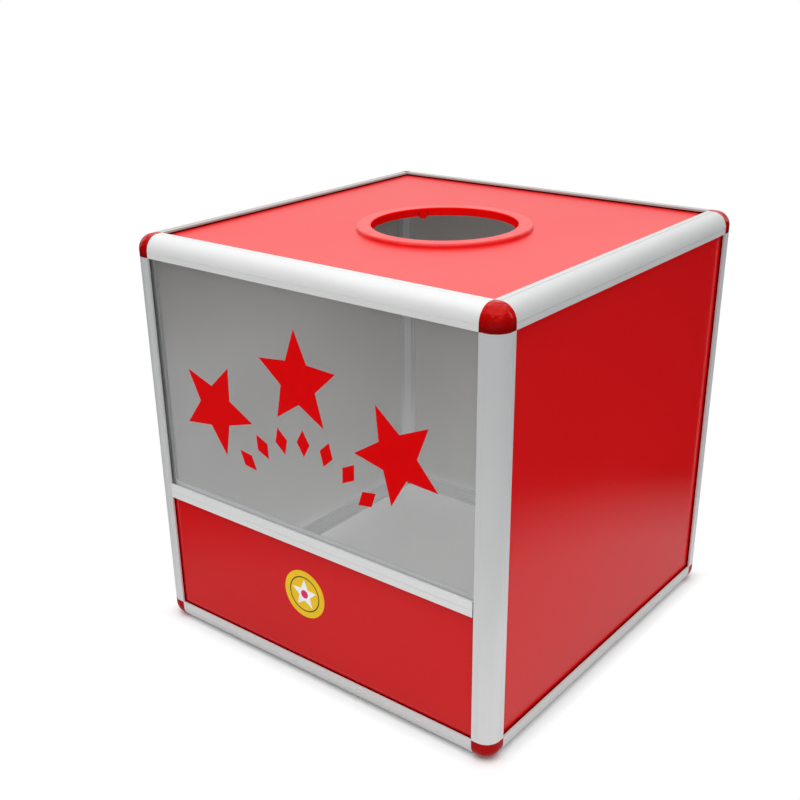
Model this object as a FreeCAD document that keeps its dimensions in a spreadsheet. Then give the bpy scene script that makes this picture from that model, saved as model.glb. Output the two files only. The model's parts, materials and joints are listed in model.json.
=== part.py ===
# Raffle box: a cube of edge profiles and corner blocks that holds coloured panels, a window
# and a ringed hand hole, with a locked emptying door in the back.
#
# Millimetres. The origin is the bottom centre of everything, with the key that stands out at
# the back. +X is the box's right, -Y is the front with the window, +Z is up.
import FreeCAD, Part
import math
import os
import Sketcher

# Every independent size of the box: name, value, meaning.
SIZES = (
    ("BoxWidth", 400.0, "outside width, left to right"),
    ("BoxDepth", 400.0, "outside depth, front to back"),
    ("BoxHeight", 400.0, "outside height"),
    ("Leg", 19.6, "leg of an edge profile, also the reach of a corner block"),
    ("RoundRadius", 14.0, "outside rounding of profiles and corner blocks"),
    ("ProfileWall", 1.3, "wall of an edge profile"),
    ("LipThickness", 1.8, "outer lip of a panel slot, profile and cross rail"),
    ("SlotWidth", 4.8, "panel slot, across"),
    ("SlotDepth", 8.0, "panel slot, depth"),
    ("ChamberReach", 16.0, "outer corner to the inner side of the connector chamber"),
    ("ChamberChamfer", 5.8, "chamfer of the chamber towards the inside of the box"),
    ("LineWidth", 0.6, "decor line, across"),
    ("LineDepth", 0.3, "decor line, depth"),
    ("ProngLength", 30.0, "corner block prong inside a profile"),
    ("ProngPlay", 0.15, "prong to chamber wall"),
    ("BoardThickness", 2.8, "white foam board of a panel"),
    ("SkinThickness", 0.2, "red film on a board"),
    ("EdgePlay", 0.5, "panel edge to slot bottom"),
    ("PanelSeat", 0.1, "panel and pane to the inner lip of their slot"),
    ("PaneThickness", 3.0, "clear window pane"),
    ("RailBottom", 140.7, "underside of the cross rail above the ground"),
    ("RailHeight", 14.3, "cross rail, height of its outer face"),
    ("RailRise", 1.7, "inner upper lip of the cross rail above the outer one"),
    ("RailWall", 1.3, "cross rail, back wall"),
    ("RailWeb", 1.5, "cross rail, web between its two slots"),
    ("RailLinePlace", 6.1, "decor line above the underside of the cross rail"),
    ("RailSeat", 0.1, "cross rail to the left post"),
    ("RailGap", 1.3, "cross rail to the right post"),
    ("HoleAcross", 7.2, "hand hole, right of the middle of the top"),
    ("HoleForward", 4.3, "hand hole, in front of the middle of the top"),
    ("RingInner", 67.5, "clear radius of the hand hole"),
    ("RingOuter", 81.2, "outside radius of the ring's flange"),
    ("RingFlange", 3.9, "thickness of the ring's flange"),
    ("RingWall", 2.0, "wall of the ring's collar"),
    ("RingRounding", 1.2, "rounding of the flange's inner edge"),
    ("RingShoulder", 2.0, "rounding of the flange's outer edge"),
    ("CollarDepth", 3.7, "collar below the top skin"),
    ("RingPlay", 0.3, "collar to the hole in the top panel"),
    ("TongueWidth", 7.9, "snap tongue, across"),
    ("TongueDepth", 6.2, "snap tongue below the top skin"),
    ("TongueSlot", 1.0, "slot beside a snap tongue"),
    ("TongueRoot", 0.8, "top of the tongue slots above the top skin"),
    ("TongueBarb", 1.2, "barb of a snap tongue beyond the collar"),
    ("BarbPlay", 0.2, "barb to the underside of the top panel"),
    ("FilmThickness", 0.15, "cut film on the window and the front panel"),
    ("ArchCentre", 154.0, "middle of the two arches of film shapes above the ground"),
    ("StarArch", 146.0, "radius of the arch of large stars"),
    ("StarRadius", 46.0, "large star, tip radius"),
    ("DiamondArch", 90.0, "radius of the arch of small diamonds"),
    ("DiamondRadius", 12.5, "small diamond, tip radius"),
    ("BadgeAcross", 9.3, "round badge, left of the middle of the front"),
    ("BadgeHeight", 90.8, "middle of the round badge above the ground"),
    ("BadgeRadius", 24.2, "round badge"),
    ("BadgeStar", 15.1, "star on the round badge, tip radius"),
    ("HatchWidth", 160.0, "opening in the back panel, width"),
    ("HatchHeight", 200.0, "opening in the back panel, height"),
    ("HatchSill", 60.0, "underside of the opening above the ground"),
    ("DoorLap", 10.0, "door over the edge of its opening"),
    ("DoorSeat", 0.2, "door to the back panel"),
    ("DoorCorner", 4.0, "corner radius of the door"),
    ("HingeHeight", 50.0, "hinge, height"),
    ("HingePlace", 40.0, "middle of a hinge from the door's upper or lower edge"),
    ("KnuckleRadius", 2.6, "hinge knuckle"),
    ("KnuckleLength", 18.0, "middle knuckle, on the door's leaf"),
    ("KnuckleGap", 0.3, "knuckle to knuckle"),
    ("KnuckleSeat", 0.15, "knuckle to the back panel"),
    ("LeafMargin", 1.5, "hinge leaf beyond its rivet heads"),
    ("LeafThickness", 1.2, "hinge leaf"),
    ("LeafRelief", 0.4, "door edge and leaf reliefs to a knuckle"),
    ("PinRadius", 1.5, "hinge pin"),
    ("PinPlay", 0.05, "hinge pin in its knuckles"),
    ("RivetPitch", 28.0, "between the two rivets of a leaf"),
    ("RivetSeat", 0.8, "rivet heads of the door to the side of the opening"),
    ("RivetRadius", 1.5, "rivet shank"),
    ("RivetPlay", 0.1, "rivet in its hole"),
    ("RivetHead", 3.0, "rivet head, radius"),
    ("RivetHeadHeight", 0.9, "rivet head, height"),
    ("LockInset", 14.0, "lock axis from the free side of the opening"),
    ("BarrelRadius", 7.9, "lock barrel"),
    ("BarrelPlay", 0.1, "lock barrel in the door and in its nut"),
    ("BarrelLength", 16.0, "lock barrel behind the door's face"),
    ("BarrelFlange", 9.5, "flange of the barrel, radius"),
    ("BarrelFlangeThickness", 2.0, "flange of the barrel, thickness"),
    ("PlugRadius", 5.5, "turning plug"),
    ("PlugPlay", 0.05, "plug in the barrel"),
    ("PlugSetback", 0.2, "face of the plug below the face of the flange"),
    ("NutRadius", 11.0, "lock nut over its corners"),
    ("NutThickness", 3.0, "lock nut"),
    ("CamReach", 28.0, "cam tip from the lock's axis"),
    ("CamBend", 9.0, "bend of the cam from the lock's axis"),
    ("CamWidth", 12.0, "cam, across"),
    ("CamThickness", 2.0, "cam strip"),
    ("CamPlay", 0.3, "locked cam to the inside of the back panel"),
    ("StubSize", 6.0, "square stub of the plug that carries the cam"),
    ("StubPlay", 0.1, "cam to barrel and to the square stub"),
    ("ScrewRadius", 1.5, "cam screw shank"),
    ("ScrewLength", 6.0, "cam screw shank"),
    ("ScrewHead", 4.6, "cam screw head, radius"),
    ("ScrewHeadHeight", 2.2, "cam screw head, height"),
    ("KeyThickness", 2.0, "key, thickness"),
    ("KeyBlade", 6.4, "key blade, across"),
    ("KeyReach", 11.0, "key blade inside the plug"),
    ("KeyNeck", 3.0, "key neck outside the plug"),
    ("KeyPlay", 0.15, "key in the keyway"),
    ("KeyBow", 10.5, "key bow, radius"),
    ("KeyEye", 2.6, "eye of the key bow, radius"),
    ("KeyTooth", 1.4, "tooth gap of the key blade"),
)

SHEET = "Sizes"
OUTPUT = "parts"
# Counts and ratios that are part of the design and not lengths.
TONGUE_COUNT = 3
TONGUE_ANGLE = 143.9
STAR_POINTS = 5
STAR_WAIST = 0.45
STAR_ANGLES = (138.0, 92.0, 46.0)
DIAMOND_COUNT = 7
DIAMOND_START = 142.0
DIAMOND_STEP = 17.0
DIAMOND_WAIST = 0.6
NUT_SIDES = 6
TOOTH_COUNT = 3
# Shares of the size that each is taken from.
TONGUE_ROUNDING = 0.4
RIM_ROUNDING = 0.4
TAIL_SHARE = 0.8
CROSS_WIDTH = 0.6
CROSS_LENGTH = 1.1
# How far a cutting tool reaches past the face it enters.
CUT = 1.0
# Below this, two lengths are the same.
NEAR = 1e-6
FULL_TURN = 360.0
DEGREES = 180.0 / math.pi
ROOT_TWO = math.sqrt(2.0)


class Size:
    """A length together with the sheet formula that gives it."""

    def __init__(self, value, formula):
        self.value = value
        self.formula = formula

    def __add__(self, other):
        other = as_size(other)
        return Size(self.value + other.value, f"({self.formula} + {other.formula})")

    def __sub__(self, other):
        other = as_size(other)
        return Size(self.value - other.value, f"({self.formula} - {other.formula})")

    def __mul__(self, other):
        other = as_size(other)
        return Size(self.value * other.value, f"({self.formula} * {other.formula})")

    def __truediv__(self, other):
        other = as_size(other)
        return Size(self.value / other.value, f"({self.formula} / {other.formula})")

    def __neg__(self):
        return Size(-self.value, f"(0 - {self.formula})")


def as_size(item):
    """A plain number becomes a size with a constant formula."""
    return item if isinstance(item, Size) else Size(float(item), f"({float(item):.9f})")


def root(size):
    """The square root of a size."""
    return Size(math.sqrt(size.value), f"sqrt({size.formula})")


def bind(item, name, size):
    """Tie one property of a document object to its formula."""
    item.setExpression(name, as_size(size).formula)


def fill_sheet(doc):
    """Write the sizes into the sheet and return them by name."""
    sheet = doc.addObject("Spreadsheet::Sheet", SHEET)
    sizes = {}
    for row, (alias, value, meaning) in enumerate(SIZES, start=1):
        sheet.set(f"A{row}", meaning)
        sheet.set(f"B{row}", str(value))
        sheet.setAlias(f"B{row}", alias)
        sizes[alias] = Size(value, f"{SHEET}.{alias}")
    doc.recompute()
    return sizes


class Frame:
    """A place in the box: an origin of three sizes and three signed axes."""

    def __init__(self, origin, x_axis, y_axis):
        self.origin = origin
        self.x_axis = x_axis
        self.y_axis = y_axis
        self.z_axis = tuple(FreeCAD.Vector(*x_axis).cross(FreeCAD.Vector(*y_axis)))

    def point(self, along, across, out):
        """The world point at three local lengths."""
        lengths = (as_size(along), as_size(across), as_size(out))
        point = []
        for index, start in enumerate(self.origin):
            value = start
            for length, axis in zip(lengths, (self.x_axis, self.y_axis, self.z_axis)):
                if axis[index] > 0:
                    value = value + length
                elif axis[index] < 0:
                    value = value - length
            point.append(value)
        return tuple(point)

    def moved(self, along, across, out):
        """The same axes at another local point."""
        return Frame(self.point(along, across, out), self.x_axis, self.y_axis)

    def facing(self, x_axis, y_axis):
        """The same origin with other world axes."""
        return Frame(self.origin, x_axis, y_axis)

    def put(self, item):
        """Place a document object in this frame and tie its place to the sheet."""
        axes = [FreeCAD.Vector(*axis) for axis in (self.x_axis, self.y_axis, self.z_axis)]
        item.Placement = FreeCAD.Placement(FreeCAD.Vector(), FreeCAD.Rotation(*axes, "ZXY"))
        for name, value in zip("xyz", self.origin):
            bind(item, f"Placement.Base.{name}", value)
        return item


RIGHT, LEFT = (1, 0, 0), (-1, 0, 0)
BACK, FRONT = (0, 1, 0), (0, -1, 0)
UP, DOWN = (0, 0, 1), (0, 0, -1)


class Builder:
    """Makes bodies in one document and keeps the list of sub-parts."""

    def __init__(self, doc):
        self.doc = doc
        self.parts = []

    def keep(self, item, label):
        """Name a finished sub-part."""
        item.Label = label
        self.parts.append(item)
        return item

    def body(self, label, frame):
        """A new body in a frame."""
        body = self.doc.addObject("PartDesign::Body", label)
        frame.put(body)
        return self.keep(body, label)

    def sketch(self, body, name, role="XY_Plane", offset=0):
        """An empty sketch on one of the body's own origin planes."""
        plane = next(item for item in body.Origin.OriginFeatures if item.Role == role)
        sketch = body.newObject("Sketcher::SketchObject", name)
        sketch.AttachmentSupport = (plane, [""])
        sketch.MapMode = "FlatFace"
        bind(sketch, "AttachmentOffset.Base.z", offset)
        return sketch

    def pad(self, body, sketch, length):
        """Extrude a sketch along its normal."""
        pad = body.newObject("PartDesign::Pad", "Pad")
        pad.Profile = sketch
        bind(pad, "Length", length)
        return pad

    def solid(self, body, kind, corner, **sizes):
        """An additive or subtractive primitive at a local corner or centre."""
        item = body.newObject(f"PartDesign::{kind}", kind)
        for name, size in sizes.items():
            bind(item, name, size)
        for name, value in zip("xyz", corner):
            bind(item, f"Placement.Base.{name}", value)
        return item

    def dress(self, body, kind, prop, size, test):
        """A fillet or chamfer on the edges of the body's tip that pass a test."""
        self.doc.recompute()
        base = body.Tip
        edges = [f"Edge{n}" for n, edge in enumerate(base.Shape.Edges, start=1) if test(edge)]
        item = body.newObject(f"PartDesign::{kind}", kind)
        item.Base = (base, edges)
        bind(item, prop, size)
        return item


def tie(sketch, geometry, position, axis, size):
    """Tie one coordinate of a sketch point to its formula."""
    size = as_size(size)
    kind, datum = (("DistanceX", -2), ("DistanceY", -1))[axis]
    if abs(size.value) < NEAR:
        sketch.addConstraint(Sketcher.Constraint("PointOnObject", geometry, position, datum))
        return
    if size.value > 0:
        place = (-1, 1, geometry, position, size.value)
    else:
        size = -size
        place = (geometry, position, -1, 1, size.value)
    index = sketch.addConstraint(Sketcher.Constraint(kind, *place))
    sketch.setExpression(f"Constraints[{index}]", size.formula)


def draw_loop(sketch, points, arcs=None):
    """Draw a closed outline whose corners are tied to the sheet.

    An arc runs from the corner with its number to the next one, about a given centre with a
    given radius.
    """
    arcs = arcs or {}
    count = len(points)
    first = sketch.GeometryCount
    ends = []
    for index, start in enumerate(points):
        end = points[(index + 1) % count]
        start_xy = FreeCAD.Vector(as_size(start[0]).value, as_size(start[1]).value)
        end_xy = FreeCAD.Vector(as_size(end[0]).value, as_size(end[1]).value)
        if index not in arcs:
            sketch.addGeometry(Part.LineSegment(start_xy, end_xy), False)
            ends.append((1, 2))
            continue
        centre, radius = arcs[index]
        middle = FreeCAD.Vector(centre[0].value, centre[1].value)
        angles = [math.atan2(p.y - middle.y, p.x - middle.x) for p in (start_xy, end_xy)]
        forward = (angles[1] - angles[0]) % (2 * math.pi) < math.pi
        if not forward:
            angles.reverse()
        circle = Part.Circle(middle, FreeCAD.Vector(0, 0, 1), radius.value)
        sketch.addGeometry(Part.ArcOfCircle(circle, *angles), False)
        ends.append((1, 2) if forward else (2, 1))
    for index in range(count):
        after = (index + 1) % count
        sketch.addConstraint(Sketcher.Constraint(
            "Coincident", first + index, ends[index][1], first + after, ends[after][0]))
    for index, point in enumerate(points):
        arc = index if index in arcs else (index - 1) % count
        axes = (0, 1)
        if arc in arcs:
            centre = arcs[arc][0]
            aside = abs(as_size(point[0]).value - centre[0].value)
            above = abs(as_size(point[1]).value - centre[1].value)
            axes = (0,) if above > aside else (1,)
        for axis in axes:
            tie(sketch, first + index, ends[index][0], axis, point[axis])
    for index, (centre, radius) in arcs.items():
        tie(sketch, first + index, 3, 0, centre[0])
        tie(sketch, first + index, 3, 1, centre[1])
        number = sketch.addConstraint(Sketcher.Constraint("Radius", first + index, radius.value))
        sketch.setExpression(f"Constraints[{number}]", radius.formula)


def draw_circle(sketch, across, up, radius):
    """Draw a circle tied to the sheet."""
    centre = FreeCAD.Vector(as_size(across).value, as_size(up).value)
    circle = Part.Circle(centre, FreeCAD.Vector(0, 0, 1), radius.value)
    index = sketch.addGeometry(circle, False)
    tie(sketch, index, 3, 0, across)
    tie(sketch, index, 3, 1, up)
    number = sketch.addConstraint(Sketcher.Constraint("Radius", index, radius.value))
    sketch.setExpression(f"Constraints[{number}]", radius.formula)


def rectangle(left, low, right, high):
    """The four corners of an upright rectangle."""
    return [(left, low), (right, low), (right, high), (left, high)]


def star(across, up, tip, waist, points, turn):
    """The corners of a star that has its first tip turned by some degrees."""
    corners = []
    for index in range(2 * points):
        radius = waist if index % 2 else tip
        angle = math.radians(turn + FULL_TURN / 2 * index / points)
        corners.append((across + radius * math.cos(angle), up + radius * math.sin(angle)))
    return corners


def is_upright(edge):
    """Whether an edge runs along its body's own Z axis."""
    ends = [vertex.Point for vertex in edge.Vertexes]
    return len(ends) == 2 and abs((ends[1] - ends[0]).normalize().z) > 1 - NEAR


class RaffleBox:
    """Builds every sub-part of the box from the sheet's sizes."""

    def __init__(self, doc):
        self.sizes = fill_sheet(doc)
        self.make = Builder(doc)
        self.doc = doc
        size = self.sizes
        self.slot_end = size["LipThickness"] + size["SlotWidth"]
        self.inner = self.slot_end + size["ProfileWall"]
        self.panel = size["BoardThickness"] + size["SkinThickness"]
        self.seat = size["LipThickness"] + size["SlotWidth"] - size["PanelSeat"]
        self.inset = self.seat - self.panel
        self.edge = size["Leg"] - size["SlotDepth"] + size["EdgePlay"]
        self.hinge_offset = size["DoorLap"] + size["LeafRelief"] + size["KnuckleRadius"]
        self.rivet_reach = self.hinge_offset + size["RivetHead"] + size["RivetSeat"]
        self.door_out = size["DoorSeat"] + self.panel - self.inset
        self.plug_top = size["BarrelFlangeThickness"] - size["PlugSetback"]
        key_out = self.door_out + self.plug_top + size["KeyNeck"] + size["KeyBow"] * 2
        self.ground = Frame((as_size(0), -key_out / 2, as_size(0)), RIGHT, BACK)
        half_width = size["BoxWidth"] / 2
        half_depth = size["BoxDepth"] / 2
        self.front = self.ground.moved(0, -half_depth, 0).facing(RIGHT, UP)
        self.back = self.ground.moved(0, half_depth, 0).facing(LEFT, UP)
        self.right = self.ground.moved(half_width, 0, 0).facing(BACK, UP)
        self.left = self.ground.moved(-half_width, 0, 0).facing(FRONT, UP)
        self.top = self.ground.moved(0, 0, size["BoxHeight"])
        self.bottom = self.ground.facing(RIGHT, FRONT)

    def build(self):
        """Build the sub-parts group by group."""
        self.build_profiles()
        self.build_corner_blocks()
        self.build_panels()
        self.build_window()
        self.build_cross_rail()
        self.build_ring()
        self.build_films()
        self.build_door()
        self.build_hinges()
        self.build_lock()
        self.build_key()
        return self.make.parts

    def draw_profile(self, sketch):
        """The section of an edge profile, with its corner at the origin."""
        size = self.sizes
        leg, wall, lip = size["Leg"], size["ProfileWall"], size["LipThickness"]
        slot_end, inner = self.slot_end, self.inner
        radius, reach = size["RoundRadius"], size["ChamberReach"]
        cut = reach - size["ChamberChamfer"]
        bottom = leg - size["SlotDepth"]
        line_end = radius + size["LineWidth"]
        half = [
            (radius, 0), (radius, size["LineDepth"]), (line_end, size["LineDepth"]), (line_end, 0),
            (leg, 0), (leg, lip), (bottom, lip), (bottom, slot_end), (leg, slot_end), (leg, inner),
            (reach, inner), (reach, cut),
        ]
        outline = half + [(across, along) for along, across in reversed(half)]
        draw_loop(sketch, outline, {len(outline) - 1: ((radius, radius), radius)})
        near = bottom - wall
        far = reach - wall
        slant = reach + cut - wall * ROOT_TWO - far
        inside = radius - wall
        sag = radius - root(inside * inside - (radius - near) * (radius - near))
        half = [(near, sag), (near, inner), (far, inner), (far, slant)]
        outline = half + [(across, along) for along, across in reversed(half)]
        draw_loop(sketch, outline, {len(outline) - 1: ((radius, radius), inside)})

    def build_profiles(self):
        """Twelve edge profiles of one section, cut to the length between the corner blocks."""
        size = self.sizes
        half = {"x": size["BoxWidth"] / 2, "y": size["BoxDepth"] / 2}
        sides = {"front": ("y", FRONT), "back": ("y", BACK), "left": ("x", LEFT), "right": ("x", RIGHT)}
        for level, inward in (("top", DOWN), ("bottom", UP)):
            height = size["BoxHeight"] if level == "top" else as_size(0)
            for side, (axis, outward) in sides.items():
                towards = tuple(-part for part in outward)
                sign = sum(outward)
                along = "y" if axis == "x" else "x"
                start = {axis: half[axis] * sign, along: size["Leg"] - half[along]}
                origin = self.ground.point(start["x"], start["y"], height)
                length = half[along] * 2 - size["Leg"] * 2
                self.build_profile(f"{level}_{side}_profile", origin, towards, inward, length)
        for first in ("front", "back"):
            for second in ("left", "right"):
                inward_y = tuple(-part for part in sides[first][1])
                inward_x = tuple(-part for part in sides[second][1])
                origin = self.ground.point(-half["x"] * sum(inward_x), -half["y"] * sum(inward_y),
                                           size["Leg"])
                length = size["BoxHeight"] - size["Leg"] * 2
                self.build_profile(f"{first}_{second}_post", origin, inward_x, inward_y, length)

    def build_profile(self, label, origin, first, second, length):
        """One edge profile that runs in the positive direction from its origin."""
        direction = FreeCAD.Vector(*first).cross(FreeCAD.Vector(*second))
        if sum(direction) < 0:
            first, second = second, first
        body = self.make.body(label, Frame(origin, first, second))
        sketch = self.make.sketch(body, "Section")
        self.draw_profile(sketch)
        self.make.pad(body, sketch, length)

    def build_corner_blocks(self):
        """Eight rounded corner blocks, each with three prongs for the profiles."""
        size = self.sizes
        for level, up in (("top", DOWN), ("bottom", UP)):
            height = size["BoxHeight"] if level == "top" else as_size(0)
            for first, y_in in (("front", BACK), ("back", FRONT)):
                for second, x_in in (("left", RIGHT), ("right", LEFT)):
                    across = -(size["BoxWidth"] / 2) * sum(x_in)
                    along = -(size["BoxDepth"] / 2) * sum(y_in)
                    axes = (x_in, y_in)
                    if tuple(FreeCAD.Vector(*x_in).cross(FreeCAD.Vector(*y_in))) != up:
                        axes = (y_in, x_in)
                    frame = self.ground.moved(across, along, height).facing(*axes)
                    self.build_corner_block(f"{level}_{first}_{second}_corner", frame)

    def build_corner_block(self, label, frame):
        """One corner block in a frame whose axes point into the box."""
        size = self.sizes
        make = self.make
        leg, lip, inner, reach = size["Leg"], size["LipThickness"], self.inner, size["ChamberReach"]
        wall, play = size["ProfileWall"], size["ProngPlay"]
        body = make.body(label, frame)
        make.solid(body, "AdditiveBox", (0, 0, 0), Length=leg, Width=leg, Height=leg)
        make.dress(body, "Fillet", "Radius", size["RoundRadius"],
                   lambda edge: any(vertex.Point.Length < NEAR for vertex in edge.Vertexes))
        bottom = leg - size["SlotDepth"]
        for hollow, depth, thick in ((reach, inner, leg - inner), (bottom, lip, size["SlotWidth"])):
            for turn in range(3):
                corner = [hollow, hollow, hollow]
                spans = [leg - hollow] * 3
                corner[turn] = depth
                spans[turn] = thick
                make.solid(body, "SubtractiveBox", corner,
                           Length=spans[0], Width=spans[1], Height=spans[2])
        start = inner + play
        end = reach - wall - play
        for turn in range(3):
            corner = [start, start, start]
            spans = [end - start] * 3
            corner[turn] = leg
            spans[turn] = size["ProngLength"]
            make.solid(body, "AdditiveBox", corner,
                       Length=spans[0], Width=spans[1], Height=spans[2])
        slant = reach * 2 - size["ChamberChamfer"] - (wall + play) * ROOT_TWO - end
        tip = end.value

        def is_inner_edge(edge):
            """Whether an edge is the inner corner of a prong."""
            ends = [vertex.Point for vertex in edge.Vertexes]
            shared = [i for i in range(3) if all(abs(point[i] - tip) < NEAR for point in ends)]
            return len(ends) == 2 and len(shared) == 2 and edge.Length > leg.value / 2

        make.dress(body, "Chamfer", "Size", end - slant, is_inner_edge)

    def plate(self, label, frame, outline, thickness, holes=(), arcs=None):
        """A flat plate that lies behind its frame's outer plane."""
        body = self.make.body(label, frame.moved(0, 0, -as_size(thickness)))
        sketch = self.make.sketch(body, "Outline")
        draw_loop(sketch, outline, arcs)
        for hole in holes:
            if len(hole) == 3:
                draw_circle(sketch, *hole)
            else:
                draw_loop(sketch, list(hole))
        self.make.pad(body, sketch, thickness)
        return body

    def panel_outline(self, width, low, high):
        """The outline of a panel between the slots of two upright profiles."""
        half = width / 2 - self.edge
        return rectangle(-half, low, half, high)

    def clad_panel(self, label, frame, outline, holes=()):
        """A white board with a red skin on its outside."""
        size = self.sizes
        face = frame.moved(0, 0, -self.inset)
        self.plate(f"{label}_skin", face, outline, size["SkinThickness"], holes)
        board = face.moved(0, 0, -size["SkinThickness"])
        self.plate(f"{label}_board", board, outline, size["BoardThickness"], holes)

    def build_panels(self):
        """Top, side, back, lower front and bottom panels in the profiles' slots."""
        size = self.sizes
        width, depth, height = size["BoxWidth"], size["BoxDepth"], size["BoxHeight"]
        upright = (self.edge, height - self.edge)
        across, along = width / 2 - self.edge, depth / 2 - self.edge
        floor = rectangle(-across, -along, across, along)
        ring_hole = (size["HoleAcross"], -size["HoleForward"],
                     size["RingInner"] + size["RingWall"] + size["RingPlay"])
        self.clad_panel("top", self.top, floor, [ring_hole])
        for side, frame in (("left", self.left), ("right", self.right)):
            self.clad_panel(side, frame, self.panel_outline(depth, *upright))
        rivets = self.rivet_holes(self.hinge_axis() - self.rivet_reach)
        hatch = rectangle(-size["HatchWidth"] / 2, size["HatchSill"],
                          size["HatchWidth"] / 2, size["HatchSill"] + size["HatchHeight"])
        self.clad_panel("back", self.back, self.panel_outline(width, *upright), [hatch] + rivets)
        web_bottom = size["RailBottom"] + (size["RailHeight"] - size["RailWeb"]) / 2
        lower = self.panel_outline(width, self.edge, web_bottom - size["EdgePlay"])
        self.clad_panel("lower_front", self.front, lower)
        board = self.bottom.moved(0, 0, -self.inset)
        self.plate("bottom_board", board, floor, self.panel)

    def build_window(self):
        """The clear pane between the top profile and the cross rail."""
        size = self.sizes
        web_top = size["RailBottom"] + (size["RailHeight"] + size["RailWeb"]) / 2
        outline = self.panel_outline(size["BoxWidth"], web_top + size["EdgePlay"],
                                     size["BoxHeight"] - self.edge)
        self.pane_face = self.front.moved(0, 0, size["PaneThickness"] - self.seat)
        self.plate("window_pane", self.pane_face, outline, size["PaneThickness"])

    def build_cross_rail(self):
        """The rail between window and lower panel: two slots back to back."""
        size = self.sizes
        lip, height = size["LipThickness"], size["RailHeight"]
        low, high = (height - size["RailWeb"]) / 2, (height + size["RailWeb"]) / 2
        behind = lip + size["SlotWidth"]
        depth = behind + size["RailWall"]
        line, line_depth = size["RailLinePlace"], size["LineDepth"]
        line_top = line + size["LineWidth"]
        inner_height = height + size["RailRise"]
        outline = [
            (0, 0), (lip, 0), (lip, low), (behind, low), (behind, 0), (depth, 0),
            (depth, inner_height), (behind, inner_height), (behind, high), (lip, high), (lip, height),
            (0, height), (0, line_top), (line_depth, line_top), (line_depth, line), (0, line),
        ]
        left_end = size["RailSeat"] + size["Leg"] - size["BoxWidth"] / 2
        frame = self.front.moved(left_end, size["RailBottom"], 0).facing(BACK, UP)
        body = self.make.body("cross_rail", frame)
        sketch = self.make.sketch(body, "Section")
        draw_loop(sketch, outline)
        length = size["BoxWidth"] - size["Leg"] * 2 - size["RailSeat"] - size["RailGap"]
        self.make.pad(body, sketch, length)

    def build_ring(self):
        """The ring of the hand hole with three snap tongues under the top panel."""
        size = self.sizes
        make = self.make
        inner, outer = size["RingInner"], size["RingOuter"]
        collar = inner + size["RingWall"]
        frame = self.top.moved(size["HoleAcross"], -size["HoleForward"], -self.inset)
        body = make.body("hole_ring", frame)
        spin = FreeCAD.Rotation(FreeCAD.Vector(0, 0, 1), TONGUE_ANGLE)
        body.Placement = FreeCAD.Placement(body.Placement.Base, spin)
        for name, value in zip("xyz", frame.origin):
            bind(body, f"Placement.Base.{name}", value)
        section = make.sketch(body, "RingSection", "XZ_Plane")
        flange, depth = size["RingFlange"], -size["CollarDepth"]
        draw_loop(section, [(inner, depth), (collar, depth), (collar, 0), (outer, 0),
                            (outer, flange), (inner, flange)])
        self.revolve(body, "Revolution", section, FULL_TURN)
        top = flange.value

        def is_rim(edge, rim):
            """Whether an edge is the upper rim of the flange at this radius."""
            return all(abs(v.Point.z - top) < NEAR
                       and abs(math.hypot(v.Point.x, v.Point.y) - rim.value) < NEAR
                       for v in edge.Vertexes)

        make.dress(body, "Fillet", "Radius", size["RingShoulder"], lambda edge: is_rim(edge, outer))
        make.dress(body, "Fillet", "Radius", size["RingRounding"], lambda edge: is_rim(edge, inner))
        tongue_turn = size["TongueWidth"] / inner * DEGREES
        slot_turn = tongue_turn + size["TongueSlot"] * 2 / inner * DEGREES
        top_of_slot = size["TongueRoot"]
        notch = make.sketch(body, "TongueNotch", "XZ_Plane")
        draw_loop(notch, rectangle(inner - CUT, depth - CUT, collar, top_of_slot))
        cut = self.revolve(body, "Groove", notch, slot_turn)
        tongue = make.sketch(body, "TongueSection", "XZ_Plane")
        tip = -size["TongueDepth"]
        barb_top = -self.panel - size["BarbPlay"]
        barb_end = barb_top + (tip - barb_top) / 2
        draw_loop(tongue, [(inner, tip), (collar, tip), (collar, barb_end),
                           (collar + size["TongueBarb"], barb_top), (collar, barb_top),
                           (collar, top_of_slot), (inner, top_of_slot)])
        added = self.revolve(body, "Revolution", tongue, tongue_turn)
        pattern = body.newObject("PartDesign::PolarPattern", "Tongues")
        pattern.Originals = [cut, added]
        pattern.Axis = (section, ["V_Axis"])
        pattern.Angle = FULL_TURN
        pattern.Occurrences = TONGUE_COUNT
        body.Tip = pattern
        low = tip.value
        thick = size["RingWall"].value

        def is_tongue_corner(edge):
            """Whether an edge is a lower corner of a tongue, across its thickness."""
            ends = [vertex.Point for vertex in edge.Vertexes]
            if len(ends) != 2 or any(abs(point.z - low) > NEAR for point in ends):
                return False
            radii = [math.hypot(point.x, point.y) for point in ends]
            return abs(radii[0] - radii[1]) > thick / 2

        rounding = size["TongueWidth"] * TONGUE_ROUNDING
        make.dress(body, "Fillet", "Radius", rounding, is_tongue_corner)

    def revolve(self, body, kind, sketch, angle):
        """Turn a section about the sketch's upright axis, half to each side."""
        item = body.newObject(f"PartDesign::{kind}", kind)
        item.Profile = sketch
        item.ReferenceAxis = (sketch, ["V_Axis"])
        bind(item, "Angle", angle)
        item.Midplane = as_size(angle).value < FULL_TURN
        return item

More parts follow.
